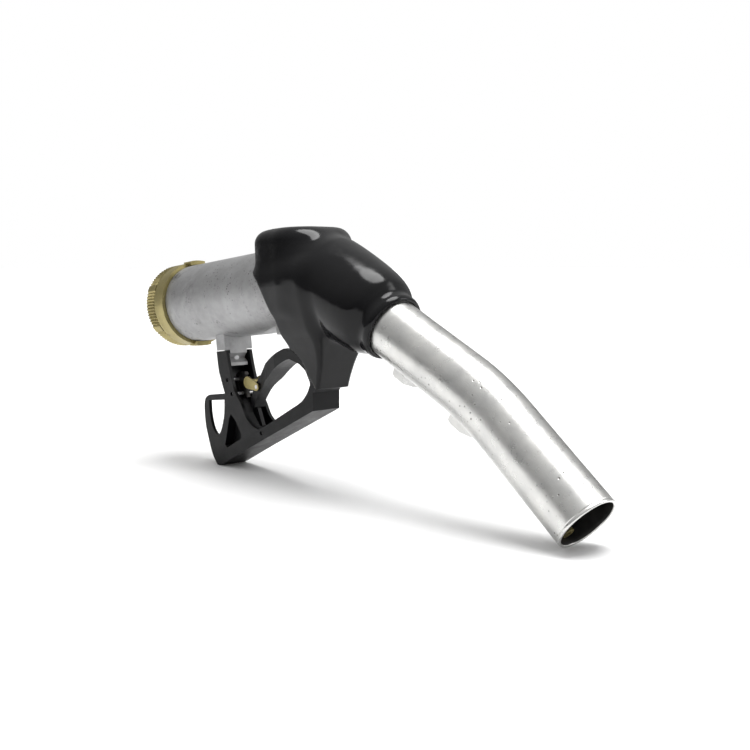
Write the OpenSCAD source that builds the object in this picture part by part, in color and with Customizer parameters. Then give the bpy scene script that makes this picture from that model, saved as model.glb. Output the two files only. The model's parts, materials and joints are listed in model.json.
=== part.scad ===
// Automatic fuel nozzle: cast barrel and valve body, swivel inlet, bent spout, hand guard,
// lever with hold-open latch, and the valve and shut-off parts inside.
// It is drawn along its barrel (X forward, Z up) and then stood up on its guard and spout tip.

/* [Barrel] */
// Radius of the round barrel
barrel_r = 29.5; // [28.5:0.1:30.5]
// Radius of the fuel passage in the barrel
bore_r = 21; // [19:0.5:22]

/* [Inlet] */
// Outer radius of the swivel ring
ring_r = 32; // [31.5:0.1:33]
// Length of the swivel ring behind the barrel's end
ring_back = 25.5; // [23:0.5:30]
// Wall radius of the ring's hose thread
thread_r = 22.4; // [22:0.1:23]
// Number of teeth round the ring's knurled band
ring_teeth = 84; // [60:4:96]

/* [Spout] */
// Outer radius of the spout tube
spout_r = 19; // [18:0.1:19]
// Wall of the spout tube
spout_wall = 1.75; // [1.2:0.05:2]
// Angle of the outlet below the barrel
outlet_angle = 32.4; // [30:0.1:35]
// Straight length of the spout before its bend
spout_straight = 65.7; // [55:0.1:75]
// Radius of the spout's bend
bend_r = 165; // [150:1:200]
// Angle of the spout's bend
bend_angle = 13; // [10:0.5:16]
// Straight length of the spout after its bend
spout_tip = 74.6; // [65:0.1:85]

/* [Guard and lever] */
// Width of the hand guard
guard_w = 23.3; // [23:0.1:24]
// Wall of the guard's channel
guard_wall = 2.5; // [2:0.1:2.8]
// Width of the lever under the fingers
lever_w = 16.4; // [14:0.2:17]
// Width of the lever's tail
tail_w = 9.4; // [8:0.2:10]

/* [Stance] */
// Angle that the barrel rises when the nozzle stands on its guard and spout tip
stand_pitch = 6.25; // [6:0.05:6.4]

/* [Hidden] */
$fn = 64;
eps = 0.01;
run_gap = 0.06;       // radial clearance of a running fit
clear_gap = 0.4;      // clearance of the cover over the parts inside it
cover_wall = 2.3;     // wall of the cover's skirt

// Stance: height of the barrel axis over the floor, and the middle of the length
stand_lift = 121.095;
stand_middle = 177.98;

// Inlet end
spigot_r = 26;
spigot_end = -9;
ring_front = 0;
band_end = -13.5;
lobe_r = 33.2;

// Valve body
valve_x = 135;
valve_r = 27.5;
valve_low_r = 21.5;
body_top = 28;
body_floor = -31;
chamber_r = 21;
chamber_low_r = 18;
seat_z = 0;
seat_h = 4;
stem_r = 4;
stem_end = -38.7;
plunger_r = 2.5;
cap_screw_at = 23.6;

// Outlet and spout, measured along the outlet axis from where it crosses the barrel axis
axis_x = 167.5;
outlet_r = 25.5;
outlet_start = -24;
outlet_end = 40;
lip_end = 64.4;
spout_start = 28.5;
bend_start = lip_end + spout_straight;
spout_bore_r = spout_r - spout_wall;
sense_r = 2.5;
sense_offset = spout_bore_r - 3.9;
joint_gap = 0.1;
joint_lip = 0.02;

// Guard and lever
channel_w = guard_w - 2 * guard_wall;
pivot = [150, -57];
pivot_r = 2.5;
pad = [133.5, -43];
pad_r = 4;
clip_hub = [77.5, -67];
clip_end = [67, -63.5];
rack_pin_a = [49.1, -60.9];
rack_pin_b = [53.6, -71.4];
rack_pin_r = 1.5;
pin_recess = 3.2;
stop_pin = [87.1, -99.9];
guard_screw = [156, -38];
strut_screw_z = -44.6;

// ---------- Placing and drawing helpers ----------

// Stands the nozzle up from its barrel frame
module stand()
    translate([-stand_middle, 0, stand_lift]) rotate([0, -stand_pitch, 0]) children();

// Turns a solid drawn along +Z so that it lies along the barrel from x
module along_barrel(x)
    translate([x, 0, 0]) rotate([0, 90, 0]) children();

// Puts a solid drawn along +Z on the outlet axis, its local +X towards the underside
module along_outlet(s)
    translate([axis_x, 0, 0]) rotate([0, 90 + outlet_angle, 0]) translate([0, 0, s]) children();

// Puts a solid drawn along +Z on the spout's axis after the bend
module along_tip(s)
    along_outlet(bend_start) translate([bend_r, 0, 0]) rotate([0, bend_angle, 0])
        translate([-bend_r, 0, s]) children();

// Puts a vertical solid on the valve's axis
module on_valve(z)
    translate([valve_x, 0, z]) children();

// Extrudes a side outline, drawn as x and z, to a width across the nozzle
module across(width)
    rotate([90, 0, 0]) linear_extrude(width, center = true) children();

// A pin or hole across the nozzle at a point of the side view
module cross_rod(at, radius, width)
    translate([at[0], 0, at[1]]) rotate([90, 0, 0]) cylinder(r = radius, h = width, center = true);

module tube(outer, inner, height)
    difference() {
        cylinder(r = outer, h = height);
        translate([0, 0, -1]) cylinder(r = inner, h = height + 2);
    }

module o_ring(radius, thick)
    rotate_extrude() translate([radius, 0]) circle(r = thick, $fn = 24);

// A tube that follows the spout, off its axis towards the underside by shift.
// Each bend end has a joint ring, a hair thicker than the tube, that its two lengths run into.
module spout_run(outer, inner, shift, from, tip_length) {
    along_outlet(from) translate([shift, 0, 0]) tube(outer, inner, bend_start - from - joint_gap);
    along_outlet(bend_start) translate([bend_r, 0, 0]) rotate([90, 0, 180])
        rotate_extrude(angle = bend_angle) translate([bend_r - shift, 0]) difference() {
            circle(r = outer);
            circle(r = inner);
        }
    along_tip(joint_gap) translate([shift, 0, 0]) tube(outer, inner, tip_length - joint_gap);
    along_outlet(bend_start - 2 * joint_gap) translate([shift, 0, 0]) joint_ring(outer, inner);
    along_tip(-2 * joint_gap) translate([shift, 0, 0]) joint_ring(outer, inner);
}

module joint_ring(outer, inner)
    tube(outer + joint_lip, inner - joint_lip, 4 * joint_gap);

// Point t of the way from b to c on a smooth curve through a, b, c and d
function blend_point(a, b, c, d, t) =
    ((2 * b) + (c - a) * t + (2 * a - 5 * b + 4 * c - d) * t * t + (3 * b - a - 3 * c + d) * t * t * t) / 2;

// A smooth run through a list of points
function smooth_run(p, steps = 4) = concat(
    [for (i = [0 : len(p) - 2], k = [0 : steps - 1])
        blend_point(p[max(i - 1, 0)], p[i], p[i + 1], p[min(i + 2, len(p) - 1)], k / steps)],
    [p[len(p) - 1]]);

// A round wire wound on a cylinder from z 0: rings joined by short bars
module coil(radius, wire, height, turns)
    for (i = [0 : turns - 1]) {
        translate([0, 0, wire + i * (height - 2 * wire) / (turns - 1)]) o_ring(radius, wire);
        if (i < turns - 1)
            translate([radius * (i % 2 == 0 ? 1 : -1), 0, wire + i * (height - 2 * wire) / (turns - 1)])
                cylinder(r = wire * 0.8, h = (height - 2 * wire) / (turns - 1), $fn = 16);
    }

// ---------- Barrel and valve body ----------

module lug_block() {
    translate([39.5, -12.2, -38.5]) cube([11, 24.4, 18]);
    translate([42.6, -7.5, -50.5]) cube([7.4, 15, 20]);
}

module guard_lug()
    across(channel_w - 0.8) polygon([[146, -20], [146, -32], [151, -43.5], [160.1, -43.5], [160.1, -20]]);

module body_outside() {
    difference() {
        along_barrel(ring_front + 0.5) cylinder(r = barrel_r, h = 127.5);
        // the underside rises towards the valve body
        across(80) polygon([[84, -31], [92, -28.9], [108, -26.6], [130, -23.5], [130, -40], [84, -40]]);
    }
    along_barrel(spigot_end) cylinder(r = spigot_r, h = 12);
    on_valve(-3) cylinder(r = valve_r, h = body_top + 3);
    on_valve(body_floor) cylinder(r = valve_low_r, h = 30);
    along_outlet(outlet_start) cylinder(r = outlet_r, h = outlet_end - outlet_start);
    lug_block();
    guard_lug();
}

module body_passages() {
    along_barrel(spigot_end - 1) cylinder(r = bore_r, h = 110);
    translate([94, -15, 2]) cube([36, 30, 16]);
    on_valve(seat_z) cylinder(r = chamber_r, h = 40);
    on_valve(body_top) cylinder(r = valve_r, h = 10);
    on_valve(-seat_h) cylinder(r = 16, h = seat_h + 1);
    on_valve(-22) cylinder(r = chamber_low_r, h = 30 - seat_h - 8);
    along_outlet(-5) cylinder(r = spout_r + 0.02, h = 56);
    translate([145, -10, -20]) cube([19, 20, 12]);
    on_valve(-40) cylinder(r = stem_r + run_gap, h = 30);
    on_valve(body_floor - 1) cylinder(r = 7, h = 6.5);
    for (a = [45 : 90 : 315])
        on_valve(body_top - 9) rotate([0, 0, a]) translate([cap_screw_at, 0, 0]) cylinder(r = 1.6, h = 20, $fn = 24);
    cross_rod(guard_screw, 2.1, 40);
    translate([41, 0, strut_screw_z]) rotate([0, 90, 0]) cylinder(r = 2.1, h = 7);
    // groove for the retaining wire and the seal groove on the spigot
    along_barrel(-2.5) tube(spigot_r + 3, spigot_r - 1.3, 2);
    along_barrel(-7.2) tube(spigot_r + 3, spigot_r - 1.8, 2.6);
    // notch in the front of the tongue
    across(20) polygon([[50.1, -41], [46.5, -44.6], [50.1, -48.2]]);
}

module barrel_body()
    color([0.72, 0.72, 0.71]) difference() {
        body_outside();
        body_passages();
    }

// ---------- Swivel inlet ----------

// Outline of the knurled band, with plain pads between groups of teeth
function band_point(i) =
    let (tooth = floor(i / 2), pad_here = tooth % 14 < 2, high = i % 2 == 0 || pad_here)
    (high ? ring_r : ring_r - 1) * [cos(i * 180 / ring_teeth), sin(i * 180 / ring_teeth)];

module inlet_ring()
    color([0.62, 0.55, 0.27]) difference() {
        union() {
            along_barrel(-ring_back + 1) linear_extrude(ring_back + band_end - 1)
                polygon([for (i = [0 : 2 * ring_teeth - 1]) band_point(i)]);
            along_barrel(-ring_back) cylinder(r1 = ring_r - 2.4, r2 = ring_r - 1.2, h = 1.2);
            along_barrel(band_end - 1) cylinder(r = ring_r - 1.4, h = 2.4);
            along_barrel(band_end + 1.2) cylinder(r = ring_r, h = ring_front - band_end - 1.2);
            for (a = [0, 180])
                along_barrel(ring_front - 6) intersection() {
                    tube(lobe_r, barrel_r + 0.5, 10);
                    rotate([0, 0, a]) translate([ring_r, 0, 5]) cube([9, 13, 10], center = true);
                }
        }
        along_barrel(-ring_back - 1) cylinder(r = thread_r, h = 30);
        along_barrel(-10.2) cylinder(r = spigot_r + run_gap, h = 20);
        along_barrel(-ring_back - 1) cylinder(r1 = thread_r + 2.8, r2 = thread_r, h = 2.8);
        along_barrel(-2.5) tube(spigot_r + 1.3, 10, 2);
    }

module ring_retainer()
    color([0.7, 0.7, 0.72]) along_barrel(-1.5) difference() {
        o_ring(spigot_r - 0.3, 0.85);
        translate([spigot_r, 0, 0]) cube([6, 3, 6], center = true);
    }

module swivel_o_ring()
    color([0.1, 0.1, 0.1]) along_barrel(-7.1) tube(spigot_r - 0.05, spigot_r - 1.7, 2.4);

module inlet_washer()
    color([0.15, 0.14, 0.13]) along_barrel(-10.2) tube(22.3, 17.5, 1.1);

module inlet_strainer()
    color([0.6, 0.6, 0.62]) along_barrel(-9) difference() {
        union() {
            tube(bore_r - 0.05, 17.5, 1.6);
            rotate_extrude() polygon([[17.5, 0], [18.4, 0], [13.6, 24], [0, 24], [0, 23.2], [13, 23.2]]);
        }
        for (ring = [1 : 3], k = [0 : 6 * ring - 1])
            rotate([0, 0, k * 60 / ring]) translate([ring * 3.7, 0, 20]) cylinder(r = 1.3, h = 6, $fn = 16);
        for (k = [0 : 11])
            rotate([0, 0, k * 30]) translate([10, 0, 12]) rotate([0, 90, 0]) cylinder(r = 2.2, h = 12, $fn = 16);
    }

// ---------- Main valve ----------

module valve_seat()
    color([0.66, 0.56, 0.3]) on_valve(-seat_h) tube(15.98, 12.5, seat_h);

module poppet_seal()
    color([0.12, 0.12, 0.12]) on_valve(0.1) tube(16, 10, 1.4);

module main_poppet()
    color([0.75, 0.75, 0.74]) on_valve(0) difference() {
        union() {
            translate([0, 0, 1.5]) cylinder(r = 17, h = 3.5);
            translate([0, 0, 5]) cylinder(r = 7, h = 4);
            translate([0, 0, -1.5]) cylinder(r = 9.9, h = 3);
        }
        translate([0, 0, -5]) cylinder(r = stem_r, h = 20);
    }

module main_spring()
    color([0.7, 0.7, 0.72]) on_valve(5.2) coil(11, 1.1, 16.6, 5);

module valve_stem()
    color([0.74, 0.74, 0.75]) difference() {
        on_valve(stem_end) cylinder(r = stem_r, h = 16 - stem_end);
        on_valve(3.4) cylinder(r = plunger_r + run_gap, h = 20);
        translate([valve_x, 0, 12]) rotate([90, 0, 0]) cylinder(r = 1.3, h = 20, center = true, $fn = 24);
    }

module latch_rollers()
    color([0.78, 0.78, 0.8]) for (side = [-1, 1])
        translate([valve_x, side * 3.3, 12]) rotate([90, 0, 0])
            cylinder(r = 1.2, h = 1.2, center = true, $fn = 24);

module stem_gland()
    color([0.66, 0.56, 0.3]) on_valve(body_floor) difference() {
        cylinder(r = 6.9, h = 3.2);
        translate([0, 0, -1]) cylinder(r = stem_r + run_gap, h = 6);
        for (a = [0, 180]) rotate([0, 0, a]) translate([5.5, 0, -1]) cylinder(r = 0.8, h = 2.5, $fn = 16);
    }

module stem_seal()
    color([0.12, 0.12, 0.12]) on_valve(body_floor + 3.3) tube(6.9, stem_r + run_gap, 2.1);

// ---------- Automatic shut-off ----------

module valve_cap()
    color([0.7, 0.7, 0.7]) on_valve(body_top - 6) tube(chamber_r - 0.02, plunger_r + run_gap, 5.9);

module diaphragm()
    color([0.14, 0.14, 0.14]) on_valve(body_top + 0.05) difference() {
        cylinder(r = 26.5, h = 1);
        translate([0, 0, -1]) cylinder(r = plunger_r + 0.1, h = 4);
        for (a = [45 : 90 : 315])
            rotate([0, 0, a]) translate([cap_screw_at, 0, -1]) cylinder(r = 1.7, h = 4, $fn = 24);
    }

module latch_plunger()
    color([0.72, 0.72, 0.74]) {
        on_valve(8.5) cylinder(r = plunger_r, h = body_top - 6);
        on_valve(body_top + 1.2) cylinder(r = 9, h = 1.2);
    }

module diaphragm_spring()
    color([0.7, 0.7, 0.72]) on_valve(body_top + 2.5) coil(6.5, 0.5, 3.6, 3);

module diaphragm_cap()
    color([0.7, 0.7, 0.7]) on_valve(body_top + 1.1) difference() {
        union() {
            cylinder(r = 26.5, h = 3);
            translate([0, 0, 3]) cylinder(r1 = 20, r2 = 18, h = 4.5);
        }
        translate([0, 0, -1]) cylinder(r = 16, h = 6.2);
        for (a = [45 : 90 : 315])
            rotate([0, 0, a]) translate([cap_screw_at, 0, -1]) cylinder(r = 1.7, h = 6, $fn = 24);
    }

module cap_screws()
    color([0.6, 0.6, 0.62]) for (a = [45 : 90 : 315])
        on_valve(body_top - 9) rotate([0, 0, a]) translate([cap_screw_at, 0, 0]) {
            cylinder(r = 1.55, h = 13.2, $fn = 24);
            translate([0, 0, 13.15]) difference() {
                cylinder(r = 2.3, h = 1.8, $fn = 32);
                translate([-4, -0.4, 1]) cube([8, 0.8, 2]);
            }
        }

// ---------- Vinyl cover ----------

// A thin level slice with round corners
module slice(from_x, to_x, half_y, z, corner)
    for (x = [from_x + corner, to_x - corner], side = [-1, 1])
        translate([x, side * (half_y - corner), z]) cylinder(r = corner, h = 2, $fn = 32);

module dome_shape() {
    hull() {
        on_valve(-8) cylinder(r = 31, h = 38, $fn = 48);
        on_valve(34) cylinder(r = 29.4, h = 0.5, $fn = 48);
        on_valve(38) cylinder(r = 21, h = 1.5, $fn = 40);
    }
    hull() {
        on_valve(-8) translate([5, 0, 0]) cylinder(r = 29, h = 36, $fn = 40);
        along_outlet(4) cylinder(r = 29.3, h = 12, $fn = 40);
    }
    along_outlet(0) rotate_extrude() polygon(concat([[0, -4], [29.2, -4]],
        smooth_run([[29.4, 2], [29.6, 14], [29.2, 26], [27, 40], [23.4, 53], [21.4, lip_end]]), [[0, lip_end]]));
}

// Lower part of the cover, from the valve body down to the point over the guard's nose
module skirt_shape(inset) {
    hull() {
        slice(127 + inset, 172 - inset, 31.5 - inset, -8, 10);
        slice(136 + inset, 175 - inset, 25.5 - inset, -34, 8);
    }
    hull() {
        slice(136 + inset, 175 - inset, 25.5 - inset, -34, 8);
        slice(141 + inset, 167 - inset, 15.5 - inset, -52, 3);
        slice(150.5 + inset / 2, 155.5 - inset / 2, 14.4 - inset, -71 + inset / 3, 1);
    }
}

module cover_hollow() {
    along_barrel(90) cylinder(r = barrel_r + clear_gap, h = 38.4);
    on_valve(-60) cylinder(r = valve_r + clear_gap, h = 60 + body_top + 4.4);
    on_valve(body_top) cylinder(r = 26.5, h = 6.5);
    on_valve(body_top) cylinder(r = 20.4, h = 9);
    along_outlet(outlet_start - 0.3) cylinder(r = outlet_r + 0.3, h = outlet_end - outlet_start + 0.7);
    along_outlet(40) cylinder(r = 21.6, h = 13);
    along_outlet(50) cylinder(r = spout_r + run_gap, h = 20);
    skirt_shape(cover_wall);
    // open underneath and behind, where the lever and guard come in
    translate([90, -12.1, -90]) cube([62, 24.2, 62]);
}

module body_cover()
    color([0.06, 0.06, 0.07]) difference() {
        union() {
            dome_shape();
            skirt_shape(0);
        }
        cover_hollow();
    }

// ---------- Outlet, check valve and spout ----------

module venturi_seat()
    color([0.66, 0.56, 0.3]) along_outlet(6) difference() {
        cylinder(r = spout_r - 0.02, h = 8);
        translate([0, 0, -1]) cylinder(r = 11, h = 12);
        translate([0, 0, 4]) cylinder(r1 = 11, r2 = 15, h = 4.01);
    }

module check_poppet()
    color([0.2, 0.2, 0.22]) along_outlet(14.2) {
        cylinder(r = 15.2, h = 2.4);
        translate([0, 0, -3.1]) cylinder(r1 = 10.4, r2 = 12, h = 3.1);
        cylinder(r = 2, h = 14);
    }

module check_spring()
    color([0.7, 0.7, 0.72]) along_outlet(16.8) coil(5, 0.7, 8.6, 4);

module check_guide()
    color([0.3, 0.3, 0.32]) along_outlet(25.6) difference() {
        union() {
            tube(spout_r - 0.02, 17, 2.4);
            cylinder(r = 7.5, h = 2.4);
            for (a = [60 : 120 : 300]) rotate([0, 0, a]) translate([5, -1.5, 0]) cube([13, 3, 2.4]);
        }
        translate([0, 0, -1]) cylinder(r = 2 + run_gap, h = 6);
    }

module spout_tube()
    color([0.85, 0.85, 0.83]) spout_run(spout_r, spout_bore_r, 0, spout_start, spout_tip);

module spout_nut()
    color([0.7, 0.7, 0.7]) along_outlet(outlet_end + 2.4) difference() {
        union() {
            cylinder(r = 21.4, h = 7);
            translate([0, 0, -2.3]) cylinder(r = 21, h = 2.5);
        }
        translate([0, 0, -5]) cylinder(r = spout_r + 0.02, h = 20);
    }

module spout_o_ring()
    color([0.12, 0.12, 0.12]) along_outlet(outlet_end + 9.5) tube(21.2, spout_r + 0.05, 2.2);

// Two small hooks under the spout, each with a step at the back and a tapered front
module spout_hook()
    rotate([90, 0, 0]) linear_extrude(5, center = true) polygon([[18.6, 0], [24.6, 0.5], [25.6, 3], [25.4, 12],
        [22.6, 20], [18.6, 27]]);

module spout_lugs()
    color([0.86, 0.86, 0.84]) difference() {
        union() {
            along_outlet(76.5) spout_hook();
            along_outlet(132) rotate([0, 5, 0]) spout_hook();
        }
        along_outlet(60) cylinder(r = spout_r, h = bend_start - 60 + eps);
        along_outlet(bend_start) translate([bend_r, 0, 0]) rotate([90, 0, 180])
            rotate_extrude(angle = bend_angle) translate([bend_r, 0]) circle(r = spout_r);
    }

module sensing_tube()
    color([0.75, 0.75, 0.76]) spout_run(sense_r, 1.6, sense_offset, spout_start + 2, spout_tip - 14);

module sensing_port()
    color([0.66, 0.6, 0.4]) along_tip(spout_tip - 13.9) translate([sense_offset, 0, 0]) difference() {
        cylinder(r = 3.6, h = 9);
        translate([0, 0, -1]) cylinder(r = 1.6, h = 12);
    }

// ---------- Hand guard ----------

guard_outline = concat(
    smooth_run([[38, -39], [39, -52.3], [40.6, -58.4], [42.5, -64.4], [44.8, -70.8]]),
    smooth_run([[24, -71.3], [19, -73], [16.4, -77], [15.4, -84], [15.6, -94], [17.6, -103], [20.6, -113],
        [23.6, -119.5], [27.6, -124.6]]),
    [[31, -125.2], [72, -110.6], [148.4, -84.4], [149.8, -72], [156, -66], [163, -52], [163, -34],
        [150, -34], [143, -44], [141, -52], [147.2, -64.6]],
    smooth_run([[147.3, -66.8], [143.4, -72.4], [136.3, -78.1], [124.6, -82.8]]),
    [[102.7, -91.2], [90.3, -95.6]],
    smooth_run([[83.7, -97.4], [76.9, -94.8], [69.6, -88.6], [65, -79.2], [61, -74], [57.4, -68.5],
        [54.6, -58.8], [52.6, -49.8], [50.8, -39]]));

loop_window = smooth_run([[43.6, -75.4], [41.5, -87], [37, -96.8], [33, -101.4], [28.8, -101],
    [25.4, -96.9], [23.3, -90.8], [22.4, -83.1], [22.9, -75.6]]);

pocket_outline = [[50.6, -86.2], [55.6, -90.7], [62.2, -101.2], [61.5, -104.4], [43, -111.2], [40, -109.4],
    [43.8, -99.7], [47.8, -89.2]];

// Open channel in the strut and rail, between the side walls
channel_outline = [[41.2, -30], [42.2, -52], [45.6, -64], [49.6, -74], [57, -86], [68, -99], [84, -105.4],
    [143.5, -84.6], [146.5, -70], [153.5, -64.5], [160.5, -52], [160.5, -30]];

// Gap between the two cheeks of the rear loop, open behind
rear_gap = [[10, -66], [41.5, -66], [43.6, -75.4], [41.5, -87], [37, -96.8], [34, -108], [10, -108]];

module hand_guard()
    color([0.1, 0.1, 0.11]) difference() {
        across(guard_w) polygon(guard_outline);
        across(guard_w + 2) polygon(loop_window);
        across(channel_w) polygon(channel_outline);
        across(channel_w) polygon(rear_gap);
        for (side = [-1, 1])
            translate([0, side * (guard_w / 2 - 3.5), 0]) across(7.02) polygon(pocket_outline);
        cross_rod(pivot, pivot_r, 40);
        cross_rod(guard_screw, 2.1, 40);
        cross_rod(rack_pin_a, rack_pin_r, 40);
        cross_rod(rack_pin_b, rack_pin_r, 40);
        cross_rod(stop_pin, rack_pin_r, 40);
        translate([30, 0, strut_screw_z]) rotate([0, 90, 0]) cylinder(r = 2.1, h = 14);
    }

module guard_front_screw()
    color([0.35, 0.35, 0.36]) cross_rod(guard_screw, 2.08, guard_w);

module guard_rear_screw()
    color([0.5, 0.5, 0.52]) translate([35.3, 0, strut_screw_z]) rotate([0, 90, 0]) difference() {
        union() {
            cylinder(r = 2.08, h = 11.8);
            cylinder(r = 4, h = 2.6);
        }
        translate([0, 0, -1]) cylinder(r = 1.6, h = 2.4, $fn = 6);
    }

// ---------- Lever and latch ----------

lever_top = [[67.6, -82], [67.3, -77], [70.5, -71.3], [74.5, -65.6], [80.5, -59.9], [87.5, -54.3],
    [95.3, -48.8], [107, -43.6], [117, -40.8]];
lever_under = [[122, -48.4], [115, -49.8], [104.5, -54], [95, -60], [85, -66.6], [77.6, -73], [73.6, -77.4],
    [72, -82]];
// Thin fin below the lever's end, which runs in the strut's channel
fin_outline = [[69.5, -76], [71, -83], [75.4, -95.6], [72.6, -96], [65.4, -86], [64.6, -81.4], [66.6, -76]];
fin_w = 3;

lever_outline = concat(smooth_run(lever_top), [[122, -42.6], [129.3, -40.4], [131.5, -39.6], [139.5, -39.6],
    [142, -43], [146, -49.4], [151, -51.4], [154.6, -54.4], [155, -58.2], [152.6, -61.4], [148, -62.2],
    [141, -58.4], [133, -52.4]], smooth_run(lever_under));

module lever_plan()
    linear_extrude(200, center = true) polygon([[60, -tail_w / 2], [81, -tail_w / 2], [84, -5], [92, -lever_w / 2 + 1],
        [104, -lever_w / 2], [160, -lever_w / 2], [160, lever_w / 2], [104, lever_w / 2],
        [92, lever_w / 2 - 1], [84, 5], [81, tail_w / 2], [60, tail_w / 2]]);

module lever()
    color([0.09, 0.09, 0.1]) difference() {
        union() {
            intersection() {
                across(lever_w) polygon(lever_outline);
                lever_plan();
            }
            across(fin_w) polygon(fin_outline);
        }
        cross_rod(pivot, pivot_r + run_gap, 40);
        cross_rod(pad, pad_r + eps, lever_w - 5);
        translate([pad[0] - pad_r, -(lever_w - 5) / 2, pad[1]]) cube([2 * pad_r, lever_w - 5, 10]);
        cross_rod(clip_hub, 1.5, 40);
        // pocket for the return spring round the pivot
        translate([pivot[0] - 8, -4, pivot[1] - 8]) cube([16, 8, 16]);
    }

module lever_pivot_pin()
    color([0.75, 0.75, 0.77]) cross_rod(pivot, pivot_r - 0.02, guard_w - 0.4);

module lever_pad()
    color([0.72, 0.72, 0.74]) cross_rod(pad, pad_r, lever_w - 5.2);

module lever_spring()
    color([0.7, 0.7, 0.72]) translate([pivot[0], -3.6, pivot[1]]) rotate([-90, 0, 0]) coil(4.1, 0.7, 7.2, 5);

module lever_stop_pin()
    color([0.5, 0.5, 0.52]) cross_rod(stop_pin, rack_pin_r - 0.02, guard_w - pin_recess);

module clip_plate(at)
    translate([0, at, 0]) across(1.2) difference() {
        union() {
            translate(clip_hub) circle(r = 2.9);
            translate(clip_end) circle(r = 4.4);
            polygon([[76.8, -69.8], [65.8, -67.7], [68.2, -59.3], [78.2, -64.2]]);
        }
        translate(clip_hub) circle(r = 1.5 + run_gap);
        translate(clip_end) circle(r = 2.2);
    }

module latch_clip()
    color([0.7, 0.6, 0.25]) {
        for (side = [-1, 1]) clip_plate(side * (tail_w / 2 + 1));
        cross_rod(clip_end, 2.2, tail_w + 3);
    }

module latch_pin()
    color([0.75, 0.75, 0.77]) cross_rod(clip_hub, 1.48, tail_w + 3.2);

module latch_rack()
    color([0.3, 0.3, 0.31]) across(3) difference() {
        polygon([[46, -57.5], [50, -55.5], [57.6, -55.5], [58.8, -57.5], [56, -60], [59, -62.5], [56.4, -65],
            [59.4, -67.5], [58.4, -70.5], [58.6, -74.6], [54, -76], [51.6, -73.6], [48.6, -66]]);
        translate(rack_pin_a) circle(r = rack_pin_r);
        translate(rack_pin_b) circle(r = rack_pin_r);
    }

module rack_pins()
    color([0.8, 0.8, 0.82]) {
        cross_rod(rack_pin_a, rack_pin_r - 0.02, guard_w - pin_recess);
        cross_rod(rack_pin_b, rack_pin_r - 0.02, guard_w - pin_recess);
    }

stand() barrel_body();
stand() inlet_ring();
stand() ring_retainer();
stand() swivel_o_ring();
stand() inlet_washer();
stand() inlet_strainer();
stand() valve_seat();
stand() main_poppet();
stand() poppet_seal();
stand() main_spring();
stand() valve_stem();
stand() stem_gland();
stand() stem_seal();
stand() latch_rollers();
stand() valve_cap();
stand() diaphragm();
stand() latch_plunger();
stand() diaphragm_spring();
stand() diaphragm_cap();
stand() cap_screws();
stand() body_cover();
stand() venturi_seat();
stand() check_poppet();
stand() check_spring();
stand() check_guide();
stand() spout_tube();
stand() spout_nut();
stand() spout_o_ring();
stand() spout_lugs();
stand() sensing_tube();
stand() sensing_port();
stand() hand_guard();
stand() guard_front_screw();
stand() guard_rear_screw();
stand() lever();
stand() lever_pivot_pin();
stand() lever_pad();
stand() lever_spring();
stand() lever_stop_pin();
stand() latch_clip();
stand() latch_pin();
stand() latch_rack();
stand() rack_pins();
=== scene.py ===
import json
import math

import bpy
import numpy as np
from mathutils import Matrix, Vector


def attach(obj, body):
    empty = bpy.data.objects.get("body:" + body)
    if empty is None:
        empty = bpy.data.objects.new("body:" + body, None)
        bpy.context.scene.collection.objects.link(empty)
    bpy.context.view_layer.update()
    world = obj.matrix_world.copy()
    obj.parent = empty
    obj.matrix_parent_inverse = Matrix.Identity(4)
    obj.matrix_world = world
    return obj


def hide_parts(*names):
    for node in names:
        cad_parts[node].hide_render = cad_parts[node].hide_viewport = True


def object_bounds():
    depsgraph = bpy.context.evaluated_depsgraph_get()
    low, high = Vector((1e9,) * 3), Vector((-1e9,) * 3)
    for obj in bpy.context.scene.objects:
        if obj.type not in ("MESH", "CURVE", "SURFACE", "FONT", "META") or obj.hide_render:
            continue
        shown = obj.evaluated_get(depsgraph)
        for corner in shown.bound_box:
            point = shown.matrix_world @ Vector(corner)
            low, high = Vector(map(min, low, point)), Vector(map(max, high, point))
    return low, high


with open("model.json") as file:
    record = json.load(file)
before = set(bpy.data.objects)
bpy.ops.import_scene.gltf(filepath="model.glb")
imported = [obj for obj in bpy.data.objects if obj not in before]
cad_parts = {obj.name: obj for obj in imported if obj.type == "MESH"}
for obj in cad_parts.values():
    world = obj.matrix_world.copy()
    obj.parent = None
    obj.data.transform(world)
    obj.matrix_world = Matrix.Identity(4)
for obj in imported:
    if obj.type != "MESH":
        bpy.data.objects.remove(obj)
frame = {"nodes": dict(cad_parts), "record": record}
cad_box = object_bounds()
nodes = frame["nodes"]
record = frame["record"]

# ---------------------------------------------------------------- nozzle frame
# Lengths below are in millimetres in the nozzle's own frame: X along the barrel from its rear
# end, Y across, Z up from the barrel's axis. The inlet mount in the record says where that is.
INLET_AT = -16.5
inlet = next(m for m in record["mounts"] if m["name"] == "inlet")
ahead = -np.array(inlet["axis"], float)
ahead /= np.linalg.norm(ahead)
above = np.array([-ahead[2], 0.0, ahead[0]])
origin = np.array(inlet["pos_m"], float) - ahead * INLET_AT / 1000
TURN = np.array([ahead, [0.0, 1.0, 0.0], above])


def row(points):
    """Nozzle millimetres to row metres."""
    return origin + (np.asarray(points, float) / 1000) @ TURN


# Main sizes, as in the CAD source
BARREL_R = 29.5
VALVE_X = 135.0
OUTLET_X = 167.5
OUTLET_ANGLE = math.radians(32.4)
LIP_END = 64.4
SPOUT_R = 19.0
SPOUT_WALL = 1.75
SPOUT_START = 28.5
BEND_START = LIP_END + 65.7
BEND_R = 165.0
BEND_ANGLE = math.radians(13)
SPOUT_TIP = 74.6

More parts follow.
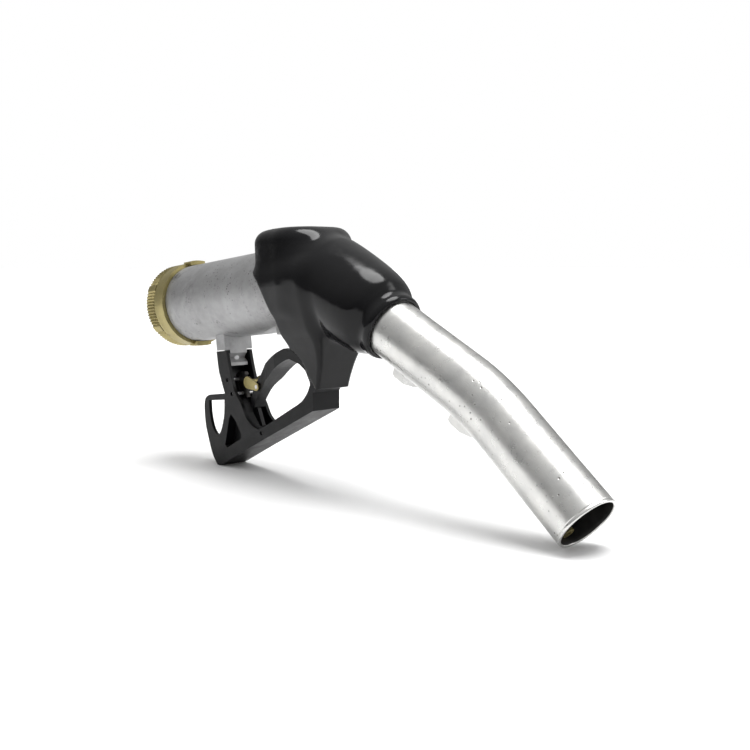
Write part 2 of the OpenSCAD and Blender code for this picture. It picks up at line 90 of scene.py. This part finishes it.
OUT_DIR = np.array([math.cos(OUTLET_ANGLE), 0, -math.sin(OUTLET_ANGLE)])
OUT_UP = np.array([math.sin(OUTLET_ANGLE), 0, math.cos(OUTLET_ANGLE)])


# ---------------------------------------------------------------- materials
def links(material):
    return material.node_tree.nodes, material.node_tree.links


def noise(material, scale, detail=6.0, roughness=0.6, stretch=(1, 1, 1)):
    n, l = links(material)
    place = n.new("ShaderNodeTexCoord")
    mapping = n.new("ShaderNodeMapping")
    mapping.inputs["Scale"].default_value = stretch
    texture = n.new("ShaderNodeTexNoise")
    texture.inputs["Scale"].default_value = scale
    texture.inputs["Detail"].default_value = detail
    texture.inputs["Roughness"].default_value = roughness
    l.new(place.outputs["Object"], mapping.inputs["Vector"])
    l.new(mapping.outputs["Vector"], texture.inputs["Vector"])
    return texture.outputs["Fac"]


def cells(material, scale):
    n, l = links(material)
    place = n.new("ShaderNodeTexCoord")
    texture = n.new("ShaderNodeTexVoronoi")
    texture.inputs["Scale"].default_value = scale
    l.new(place.outputs["Object"], texture.inputs["Vector"])
    return texture.outputs["Distance"]


def ramp(material, value, low, high, to_low=0.0, to_high=1.0):
    n, l = links(material)
    node = n.new("ShaderNodeMapRange")
    node.inputs["From Min"].default_value = low
    node.inputs["From Max"].default_value = high
    node.inputs["To Min"].default_value = to_low
    node.inputs["To Max"].default_value = to_high
    l.new(value, node.inputs["Value"])
    return node.outputs["Result"]


def times(material, a, b):
    n, l = links(material)
    node = n.new("ShaderNodeMath")
    node.operation = "MULTIPLY"
    l.new(a, node.inputs[0])
    l.new(b, node.inputs[1])
    return node.outputs[0]


def blend(material, factor, first, second):
    """Colour between two colours, or an earlier result and a colour."""
    n, l = links(material)
    node = n.new("ShaderNodeMix")
    node.data_type = "RGBA"
    l.new(factor, node.inputs["Factor"])
    for socket, colour in ((node.inputs[6], first), (node.inputs[7], second)):
        if isinstance(colour, tuple):
            socket.default_value = (*colour, 1)
        else:
            l.new(colour, socket)
    return node.outputs[2]


def bump(material, height, strength, distance, before=None):
    n, l = links(material)
    node = n.new("ShaderNodeBump")
    node.inputs["Strength"].default_value = strength
    node.inputs["Distance"].default_value = distance
    l.new(height, node.inputs["Height"])
    if before is not None:
        l.new(before, node.inputs["Normal"])
    return node.outputs["Normal"]


def start(name, metallic):
    material = bpy.data.materials.new(name)
    material.use_nodes = True
    shader = material.node_tree.nodes["Principled BSDF"]
    shader.inputs["Metallic"].default_value = metallic
    return material, shader


def join(material, shader, colour, roughness, normal):
    l = material.node_tree.links
    l.new(colour, shader.inputs["Base Color"])
    l.new(roughness, shader.inputs["Roughness"])
    l.new(normal, shader.inputs["Normal"])
    return material


def metal(name, light, dark, stain, rough, grain, pit_scale, pit_size, streak=(1, 1, 1), stain_from=0.62):
    """Bare metal: cloudy tone, dark stains, small pits and a fine grain."""
    m, s = start(name, 1.0)
    cloud = ramp(m, noise(m, 55, 5, 0.6, streak), 0.3, 0.7)
    colour = blend(m, cloud, dark, light)
    stains = ramp(m, noise(m, 38, 9, 0.72), stain_from, stain_from + 0.12)
    colour = blend(m, stains, colour, stain)
    smear = ramp(m, noise(m, 14, 7, 0.7), 0.56, 0.72, 0, 0.55)
    colour = blend(m, smear, colour, stain)
    where = ramp(m, noise(m, 45, 3), 0.52, 0.62)
    pits = times(m, ramp(m, cells(m, pit_scale), pit_size, pit_size * 0.4), where)
    colour = blend(m, pits, colour, stain)
    roughness = ramp(m, noise(m, 180, 6, 0.65, streak), 0.25, 0.75, rough - 0.08, rough + 0.1)
    normal = bump(m, noise(m, grain, 4, 0.6, streak), 0.22, 0.0002)
    normal = bump(m, ramp(m, pits, 0, 1, 1, 0), 0.6, 0.0004, normal)
    return join(m, s, colour, roughness, normal)


def black(name, base, worn, rough, grain, grain_depth, wave=0.0, wear_from=0.66, shine=0.2):
    """Black moulded plastic or vinyl: faint tone, scuffs and a moulded grain."""
    m, s = start(name, 0.0)
    s.inputs["Specular IOR Level"].default_value = shine
    scuffs = ramp(m, noise(m, 120, 10, 0.75, (1, 1, 0.35)), wear_from, wear_from + 0.14)
    tone = ramp(m, noise(m, 30, 5), 0.35, 0.7)
    colour = blend(m, tone, base, tuple(v * 1.5 for v in base))
    colour = blend(m, scuffs, colour, worn)
    roughness = ramp(m, noise(m, 90, 8, 0.7), 0.3, 0.75, rough - 0.06, rough + 0.12)
    normal = bump(m, noise(m, grain, 3, 0.5), 0.35, grain_depth)
    if wave:
        normal = bump(m, noise(m, 42, 2, 0.4), 0.5, wave, normal)
    return join(m, s, colour, roughness, normal)


MATERIALS = {
    "cast_aluminium": metal("cast_aluminium", (0.43, 0.43, 0.435), (0.33, 0.33, 0.33), (0.08, 0.075, 0.07),
                            0.56, 900, 420, 0.3, (1, 1, 1), 0.6),
    "spout_aluminium": metal("spout_aluminium", (0.74, 0.735, 0.71), (0.58, 0.58, 0.57), (0.12, 0.11, 0.10),
                             0.3, 1400, 300, 0.2, (1, 1, 1), 0.72),
    "brass": metal("brass", (0.43, 0.37, 0.17), (0.30, 0.255, 0.115), (0.09, 0.075, 0.04), 0.46, 1100, 500, 0.18),
    "steel": metal("steel", (0.62, 0.62, 0.63), (0.45, 0.45, 0.45), (0.14, 0.12, 0.10), 0.34, 1500, 600, 0.15),
    "dark_steel": metal("dark_steel", (0.10, 0.095, 0.09), (0.04, 0.04, 0.04), (0.02, 0.018, 0.015),
                        0.5, 1200, 500, 0.2),
    "cover_vinyl": black("cover_vinyl", (0.003, 0.003, 0.0035), (0.02, 0.02, 0.019), 0.13, 2600, 0.00003,
                         0.0014, 0.74, 0.24),
    "guard_plastic": black("guard_plastic", (0.003, 0.0031, 0.0036), (0.022, 0.022, 0.023), 0.4, 2200, 0.00012),
    "lever_plastic": black("lever_plastic", (0.004, 0.0042, 0.0047), (0.025, 0.025, 0.026), 0.36, 2200, 0.0001),
    "seal_rubber": black("seal_rubber", (0.012, 0.012, 0.012), (0.04, 0.04, 0.038), 0.7, 1800, 0.0002),
    "inner_plastic": black("inner_plastic", (0.04, 0.04, 0.045), (0.09, 0.09, 0.09), 0.4, 2000, 0.0001),
}


def dress(obj, name):
    obj.data.materials.clear()
    obj.data.materials.append(MATERIALS[name])


# ---------------------------------------------------------------- mesh helpers
def make_object(name, points, faces, body, material, smooth=True):
    """A mesh from nozzle-frame points, carried by a CAD body."""
    mesh = bpy.data.meshes.new(name)
    mesh.from_pydata(row(points).tolist(), [], faces)
    mesh.validate()
    mesh.update()
    if smooth:
        mesh.polygons.foreach_set("use_smooth", [True] * len(mesh.polygons))
    obj = bpy.data.objects.new(name, mesh)
    bpy.context.scene.collection.objects.link(obj)
    dress(obj, material)
    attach(obj, body)
    return obj


def surface(distance, low, high, step):
    """Quads on the zero surface of a distance function, by surface nets on an even grid."""
    axes = [np.arange(a, b + step, step) for a, b in zip(low, high)]
    grid = np.stack(np.meshgrid(*axes, indexing="ij"), -1)
    shape = grid.shape[:3]
    value = distance(grid.reshape(-1, 3)).reshape(shape)
    inside = value < 0
    total = np.zeros(tuple(n - 1 for n in shape) + (3,))
    count = np.zeros(tuple(n - 1 for n in shape))
    corner = [slice(0, -1), slice(1, None)]
    for axis in range(3):
        others = [a for a in range(3) if a != axis]
        for i in (0, 1):
            for j in (0, 1):
                first, second = [None] * 3, [None] * 3
                first[axis], second[axis] = corner[0], corner[1]
                first[others[0]] = second[others[0]] = corner[i]
                first[others[1]] = second[others[1]] = corner[j]
                a, b = value[tuple(first)], value[tuple(second)]
                cross = (a < 0) != (b < 0)
                t = np.where(cross, a / np.where(cross, a - b, 1), 0)
                p = grid[tuple(first)] + t[..., None] * (grid[tuple(second)] - grid[tuple(first)])
                total += np.where(cross[..., None], p, 0)
                count += cross
    has = count > 0
    index = -np.ones(has.shape, int)
    index[has] = np.arange(has.sum())
    points = total[has] / count[has][:, None]
    quads = []
    for axis in range(3):
        others = [a for a in range(3) if a != axis]
        middle = [slice(None)] * 3
        middle[others[0]] = middle[others[1]] = slice(1, -1)
        start_cell, end_cell = list(middle), list(middle)
        start_cell[axis], end_cell[axis] = slice(0, -1), slice(1, None)
        a, b = inside[tuple(start_cell)], inside[tuple(end_cell)]
        where = np.argwhere(a != b)
        entering = b[a != b]
        where[:, others[0]] += 1
        where[:, others[1]] += 1
        around = []
        for du, dv in ((-1, -1), (0, -1), (0, 0), (-1, 0)):
            cell = where.copy()
            cell[:, others[0]] += du
            cell[:, others[1]] += dv
            around.append(index[cell[:, 0], cell[:, 1], cell[:, 2]])
        quad = np.stack(around, 1)
        flip = entering if axis != 1 else ~entering
        quad[flip] = quad[flip][:, ::-1]
        quads.append(quad)
    for _ in range(4):
        h = step * 0.2
        f = distance(points)
        slope = np.stack([(distance(points + h * e) - distance(points - h * e)) / (2 * h) for e in np.eye(3)], 1)
        size = np.maximum((slope ** 2).sum(1), 0.15)
        move = -(f / size)[:, None] * slope
        length = np.linalg.norm(move, axis=1)
        move *= np.minimum(1, 0.5 * step / np.maximum(length, 1e-9))[:, None]
        points = points + 0.8 * move
    return points, np.concatenate(quads).tolist()


def smooth_min(a, b, k):
    """The nearer of two distances, blended over k."""
    h = np.clip(0.5 + 0.5 * (b - a) / k, 0, 1)
    return b + (a - b) * h - k * h * (1 - h)


def smooth_max(a, b, k):
    """The further of two distances, blended over k."""
    return -smooth_min(-a, -b, k)


def rounded(u, v, half_u, half_v, r):
    """Distance to a rectangle with round corners."""
    du, dv = np.abs(u) - half_u + r, np.abs(v) - half_v + r
    outside = np.hypot(np.maximum(du, 0), np.maximum(dv, 0))
    return outside + np.minimum(np.maximum(du, dv), 0) - r


def curve(t, knots):
    """Smooth value at t through given knots (t, value)."""
    x = np.array([k[0] for k in knots], float)
    y = np.array([k[1] for k in knots], float)
    slope = np.gradient(y, x)
    t = np.clip(t, x[0], x[-1])
    i = np.clip(np.searchsorted(x, t) - 1, 0, len(x) - 2)
    w = x[i + 1] - x[i]
    s = (t - x[i]) / w
    return ((1 + 2 * s) * (1 - s) ** 2 * y[i] + s * (1 - s) ** 2 * w * slope[i]
            + s * s * (3 - 2 * s) * y[i + 1] + s * s * (s - 1) * w * slope[i + 1])


# ---------------------------------------------------------------- vinyl cover
# Every shape below is a distance function: below zero inside it. Knots are (place, value).
VALVE_R = 27.9        # room for the valve body
VALVE_LOW_R = 21.9    # and for its narrower foot
CAP_R = 20.4          # and for the diaphragm cap
CHANNEL_R = 25.6      # and for the outlet
NUT_R = 21.6          # and for the spout nut
FIT = 0.05            # gap round the spout
WALL = 2.2            # thickness of the skirt
DOME_TOP = 39.6
DOME_MIDDLE = 136.5
DOME_HALF = (29.5, 31.4)
DOME_CORNER = 22
DOME_EDGE = 8.5       # rounding round the cap
SKIRT_BACK = 104.0
SKIRT_FOOT = -70.6
GUARD_HALF = 12.1     # half the width of the guard's nose inside the skirt

NECK = [(-30, 28), (-10, 29.4), (5, 30), (18, 30), (30, 29.6), (38, 29), (44, 28), (49, 26.4),
        (53, 24.2), (56, 22.5), (58.5, 22.2), (61.5, 22.3), (63.5, 21.7), (66, 20.2)]
REAR_EDGE = [(-76, 156), (-70, 154.5), (-66, 152.5), (-58, 147), (-51, 142.8), (-43, 139.4), (-36, 138.6),
             (-27, 137.8), (-16, 135.2), (-8, 131), (0, 126.5), (6, 122), (14, 112), (22, 100), (30, 90)]
SKIRT_FRONT = [(-76, 156.5), (-69, 158.4), (-58, 163), (-47, 168), (-34, 174), (-16, 178), (8, 178)]
SKIRT_HALF = [(-76, 13.6), (-66, 14.3), (-51, 17), (-39, 22), (-32, 26.5), (-16, 30.6), (0, 31.4), (8, 31.4)]
SKIRT_CORNER = [(-76, 1.6), (-60, 2.6), (-45, 4), (-30, 8), (0, 14), (8, 14)]


def outlet_place(p):
    """Distance along the outlet's axis and from it."""
    rel = p - np.array([OUTLET_X, 0, 0])
    s = rel @ OUT_DIR
    up = rel @ OUT_UP
    return s, np.hypot(up, p[:, 1])


def dome(p):
    """The cap over the valve body: a round-cornered box with a slightly sloping top."""
    x, y, z = p.T
    lean = np.clip(z, 0, 40) * 0.03
    side = rounded(x - DOME_MIDDLE, y, DOME_HALF[0] - lean, DOME_HALF[1] - lean, DOME_CORNER)
    top = z - DOME_TOP + np.maximum(x - VALVE_X, 0) * 0.05
    side, top = side + DOME_EDGE, top + DOME_EDGE
    outside = np.hypot(np.maximum(side, 0), np.maximum(top, 0))
    return outside + np.minimum(np.maximum(side, top), 0) - DOME_EDGE


def neck(p):
    """The sleeve along the outlet, with a lip round the spout."""
    s, out = outlet_place(p)
    body = (out - curve(s, NECK)) * 0.97
    return smooth_max(np.maximum(body, s - LIP_END), -20 - s, 16)


def skirt(p, inset):
    """The part that hangs down over the guard's nose, or its inside when inset."""
    x, y, z = p.T
    back, front = SKIRT_BACK, curve(z, SKIRT_FRONT) - inset
    half, corner = curve(z, SKIRT_HALF) - inset, curve(z, SKIRT_CORNER)
    side = rounded(x - (back + front) / 2, y, (front - back) / 2, half, corner)
    # cut to a slanted lower edge
    below = (SKIRT_FOOT + 0.12 * (x - 155) + 0.02 * np.abs(y)) - z
    return np.maximum(side * 0.86, below)


def cover(p):
    """The whole cover: blended outside, cut to its rear edge, less the room inside."""
    x, y, z = p.T
    drop = smooth_max(skirt(p, 0), z - 16, 14)
    upper = smooth_max(dome(p), -18 - z, 6)
    shape = smooth_min(upper, neck(p), 12)
    shape = smooth_min(shape, drop, 5)
    shape = smooth_max(shape, (curve(z, REAR_EDGE) - x) * 0.8, 1.5)
    # the inside
    s, out = outlet_place(p)
    axial = np.hypot(x - VALVE_X, y)
    lining = skirt(p, WALL)
    hollow = np.minimum.reduce([
        np.maximum(np.hypot(y, z) - BARREL_R - 0.1, x - 128),
        np.maximum(axial - VALVE_R, np.maximum(z - 32, -20 - z)),
        np.maximum(np.maximum(axial - VALVE_LOW_R, z), lining),
        np.maximum(axial - CAP_R, z - 37),
        np.maximum(out - CHANNEL_R, np.maximum(s - 40.2, -24.3 - s)),
        np.maximum(out - SPOUT_R - FIT, 30 - s),
        np.maximum(np.maximum(out - NUT_R, s - 53), 30 - s),
        np.maximum(lining, z + 4),
        np.maximum(np.maximum(np.abs(y) - GUARD_HALF, x - 152), z + 28),
    ])
    return smooth_max(shape, -hollow, 0.7)


STEP = 0.8
points, faces = surface(cover, (100, -35, -75), (234, 35, 43), STEP)
cover_skin = make_object("cover_skin", points, faces, "nozzle", "cover_vinyl")
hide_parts("body_cover")


# ---------------------------------------------------------------- spout
def spout_centre(s):
    """Centre and upward direction at a length along the spout from the outlet's crossing."""
    bend_end = BEND_START + BEND_R * BEND_ANGLE
    start_bend = np.array([OUTLET_X, 0, 0]) + OUT_DIR * BEND_START
    hub = start_bend - OUT_UP * BEND_R
    turn = min(max((s - BEND_START) / BEND_R, 0), BEND_ANGLE)
    angle = OUTLET_ANGLE + turn
    along = np.array([math.cos(angle), 0, -math.sin(angle)])
    up = np.array([math.sin(angle), 0, math.cos(angle)])
    if s <= BEND_START:
        return np.array([OUTLET_X, 0, 0]) + OUT_DIR * s, up
    return hub + up * BEND_R + along * max(s - bend_end, 0), up


SPOUT_END = BEND_START + BEND_R * BEND_ANGLE + SPOUT_TIP
AROUND = 160


def spout_mesh():
    """Outer skin with a turned-over rim and a fine line behind it, then the bore."""
    outer = [(s, SPOUT_R) for s in np.arange(SPOUT_START, SPOUT_END - 3, 2.5)]
    rim = [(-2.6, 0), (-2.3, 0), (-2.15, -0.16), (-1.95, -0.16), (-1.8, 0), (-0.6, 0), (-0.25, -0.1),
           (-0.05, -0.35), (0, -0.6), (0, -1.2), (-0.15, -1.55), (-0.6, -SPOUT_WALL)]
    outer += [(SPOUT_END + a, SPOUT_R + b) for a, b in rim]
    inner = [(s, SPOUT_R - SPOUT_WALL) for s in np.arange(SPOUT_END - 3, SPOUT_START, -4)]
    profile = outer + inner + [(SPOUT_START, SPOUT_R - SPOUT_WALL)]
    pts = []
    for s, r in profile:
        c, up = spout_centre(s)
        for k in range(AROUND):
            a = 2 * math.pi * k / AROUND
            # a drawn tube is never quite round: long, shallow waves
            wave = 0.035 * math.sin(3 * a + s * 0.05) + 0.03 * math.sin(s * 0.11 + a)
            pts.append(c + (r - 0.06 + wave) * (math.cos(a) * up + math.sin(a) * np.array([0, 1, 0])))
    n = len(profile)
    quads = [(i * AROUND + k, i * AROUND + (k + 1) % AROUND, (i + 1) % n * AROUND + (k + 1) % AROUND,
              (i + 1) % n * AROUND + k) for i in range(n) for k in range(AROUND)]
    return np.array(pts), quads


points, faces = spout_mesh()
spout_skin = make_object("spout_skin", points, faces, "nozzle", "spout_aluminium")
# a second slot, the dark steel, for painted shade inside the tube
spout_skin.data.materials.append(MATERIALS["dark_steel"])
# the bore is painted dark, as painted shade inside the tube; its rings are the last ones
rings = len(points) // AROUND
bore_from = rings - 1 - len(np.arange(SPOUT_END - 3, SPOUT_START, -4))
for polygon in spout_skin.data.polygons:
    if polygon.vertices[0] // AROUND >= bore_from - 1:
        polygon.material_index = 1
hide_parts("spout_tube")


# ---------------------------------------------------------------- CAD pieces
SLOT = {s["node"]: s["material_slot"] for s in record["subparts"]}
EDGES = {"hand_guard": 0.5, "lever": 1.0, "barrel_body": 1.0, "latch_clip": 0.25, "inlet_ring": 0.25,
         "spout_lugs": 0.8, "guard_rear_screw": 0.3, "latch_rack": 0.2}
for name, obj in nodes.items():
    dress(obj, SLOT[name])
    flat = obj.modifiers.new("planes", "DECIMATE")
    flat.decimate_type = "DISSOLVE"
    flat.angle_limit = math.radians(0.4)
    if name in EDGES:
        edge = obj.modifiers.new("edges", "BEVEL")
        edge.width = EDGES[name] / 1000
        edge.segments = 3
        edge.limit_method = "ANGLE"
        edge.angle_limit = math.radians(38)
    for polygon in obj.data.polygons:
        polygon.use_smooth = True
    shade = obj.modifiers.new("shade", "WEIGHTED_NORMAL")
    shade.keep_sharp = True


# ---------------------------------------------------------------- floor, light and camera
def plain(name, colour, rough):
    m, s = start(name, 0.0)
    s.inputs["Base Color"].default_value = (*colour, 1)
    s.inputs["Roughness"].default_value = rough
    return m


def lay_floor():
    """A wide pale floor, level with the lowest point of the object."""
    mesh = bpy.data.meshes.new("floor")
    reach = 40.0
    corners = [(-reach, -reach), (reach, -reach), (reach, reach), (-reach, reach)]
    mesh.from_pydata([(x, y, cad_box[0].z) for x, y in corners], [], [(0, 1, 2, 3)])
    obj = bpy.data.objects.new("floor", mesh)
    obj.data.materials.append(plain("floor", (0.95, 0.95, 0.95), 0.9))
    bpy.context.scene.collection.objects.link(obj)


lay_floor()


def lamp(name, at, aim, size, power):
    """A rectangular light at one point, turned to another."""
    data = bpy.data.lights.new(name, "AREA")
    data.shape = "RECTANGLE"
    data.size, data.size_y = size
    data.energy = power
    obj = bpy.data.objects.new(name, data)
    bpy.context.scene.collection.objects.link(obj)
    obj.location = at
    obj.rotation_euler = (Vector(aim) - Vector(at)).to_track_quat("-Z", "Y").to_euler()
    return obj


def sun(tilt, turn, strength, spread):
    """A wide sun, so that its shadows are soft; angles in degrees."""
    data = bpy.data.lights.new("sky", "SUN")
    data.energy = strength
    data.angle = math.radians(spread)
    obj = bpy.data.objects.new("sky", data)
    bpy.context.scene.collection.objects.link(obj)
    obj.rotation_euler = (math.radians(tilt), 0, math.radians(turn))


# A broad overhead light behind the object, and a soft one on the far right
sun(9, 150, 2.7, 36)
lamp("right", (0.9, 0.9, 0.9), (0.05, 0.0, 0.1), (0.5, 0.9), 5)

# Soft light from all round, darker near the horizon; the camera sees it plain white
world = bpy.data.worlds.new("studio")
world.use_nodes = True
wn, wl = world.node_tree.nodes, world.node_tree.links
lit = wn["Background"]
seen = wn.new("ShaderNodeBackground")
seen.inputs["Strength"].default_value = 1.0
seen.inputs["Color"].default_value = (1, 1, 1, 1)
where = wn.new("ShaderNodeTexCoord")
split = wn.new("ShaderNodeSeparateXYZ")
height = wn.new("ShaderNodeMapRange")
height.inputs["From Min"].default_value = 0.0
height.inputs["From Max"].default_value = 0.9
height.inputs["To Min"].default_value = 0.16
height.inputs["To Max"].default_value = 0.75
wl.new(where.outputs["Generated"], split.inputs["Vector"])
wl.new(split.outputs["Z"], height.inputs["Value"])
wl.new(height.outputs["Result"], lit.inputs["Strength"])
ray = wn.new("ShaderNodeLightPath")
either = wn.new("ShaderNodeMixShader")
wl.new(ray.outputs["Is Camera Ray"], either.inputs[0])
wl.new(lit.outputs[0], either.inputs[1])
wl.new(seen.outputs[0], either.inputs[2])
wl.new(either.outputs[0], wn["World Output"].inputs["Surface"])
lit.inputs["Color"].default_value = (1, 1, 1, 1)
bpy.context.scene.world = world

camera_data = bpy.data.cameras.new("camera")
camera_data.lens = 49.03
camera_data.sensor_width = 36
camera = bpy.data.objects.new("camera", camera_data)
bpy.context.scene.collection.objects.link(camera)
seen_from, seen_at = row([[686.03, -437.68, -45.43], [200.29, 0, -62.41]])
camera.location = seen_from
camera.rotation_euler = (Vector(seen_at) - Vector(seen_from)).to_track_quat("-Z", "Y").to_euler()
camera_data.clip_start = 0.01
bpy.context.scene.camera = camera
bpy.context.scene.view_settings.view_transform = "Standard"
